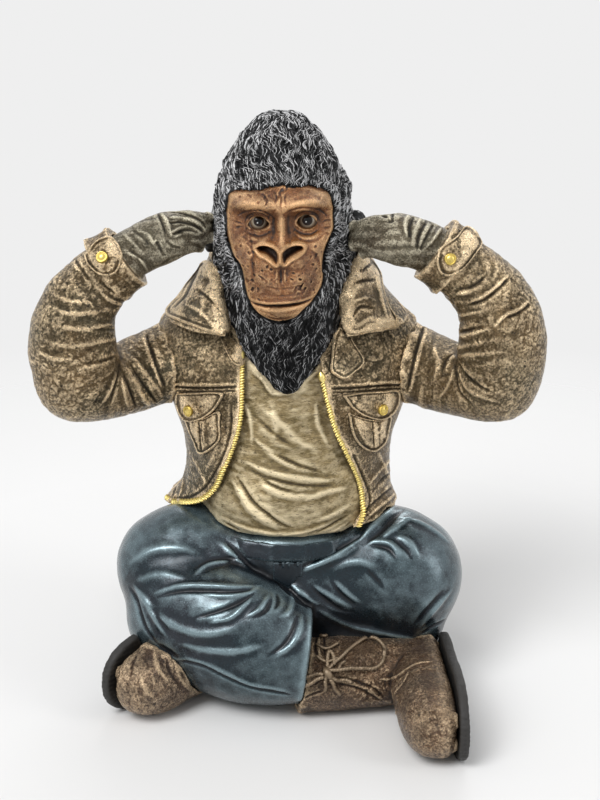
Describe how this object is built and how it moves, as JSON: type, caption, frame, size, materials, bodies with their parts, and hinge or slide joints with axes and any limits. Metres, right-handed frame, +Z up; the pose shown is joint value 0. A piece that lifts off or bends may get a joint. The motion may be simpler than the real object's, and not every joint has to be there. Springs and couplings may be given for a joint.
{
  "type": "gorilla figurine",
  "caption": "Sitting gorilla ornament in leather jacket, T-shirt, jeans and laced boots, legs crossed, fingers in its ears, on a flat underside.",
  "frame": {"origin": "on the flat underside, under the middle of the seat", "axes": "+Z up, the face looks along -Y, +X towards the ornament's left hand"},
  "size_m": [0.2797, 0.1903, 0.3196],
  "materials": {
    "fur": "black fur relief with silver dry-brushing, satin",
    "face_skin": "copper-brown bare skin with dark wash, glossy",
    "eye": "dark eye with clear gloss",
    "shirt": "antique pale gold paint, satin metallic",
    "leather": "bronze-brown cracked leather paint, satin metallic",
    "glove": "olive-bronze leather paint, satin metallic",
    "brass": "bright gold paint, metallic",
    "denim": "dark teal-blue paint with silver sheen, satin metallic",
    "boot": "brown cracked leather paint with gold sheen",
    "sole": "near-black rubber look, satin",
    "lace": "dark brown cord paint, satin",
    "plug": "bare dark resin, matte"
  },
  "bodies": {
    "root": {"head_fur": "fur", "ear_right": "fur", "ear_left": "fur", "face_mask": "face_skin", "eye_right": "eye", "eye_left": "eye", "shirt": "shirt", "jacket_back": "leather", "jacket_front_right": "leather", "jacket_front_left": "leather", "collar": "leather", "throat_tab": "leather", "pocket_right": "leather", "pocket_left": "leather", "pocket_flap_right": "leather", "pocket_flap_left": "leather", "sleeve_right": "leather", "sleeve_left": "leather", "cuff_right": "leather", "cuff_left": "leather", "cuff_tab_right": "leather", "cuff_tab_left": "leather", "glove_right": "glove", "glove_left": "glove", "zip_right": "brass", "zip_left": "brass", "pocket_stud_right": "brass", "pocket_stud_left": "brass", "cuff_stud_right": "brass", "cuff_stud_left": "brass", "trousers": "denim", "trouser_waistband": "denim", "trouser_fly": "denim", "boot_right_upper": "boot", "boot_left_upper": "boot", "boot_right_sole": "sole", "boot_left_sole": "sole", "boot_right_laces": "lace", "pour_hole_plug": "plug"}
  },
  "joints": []
}
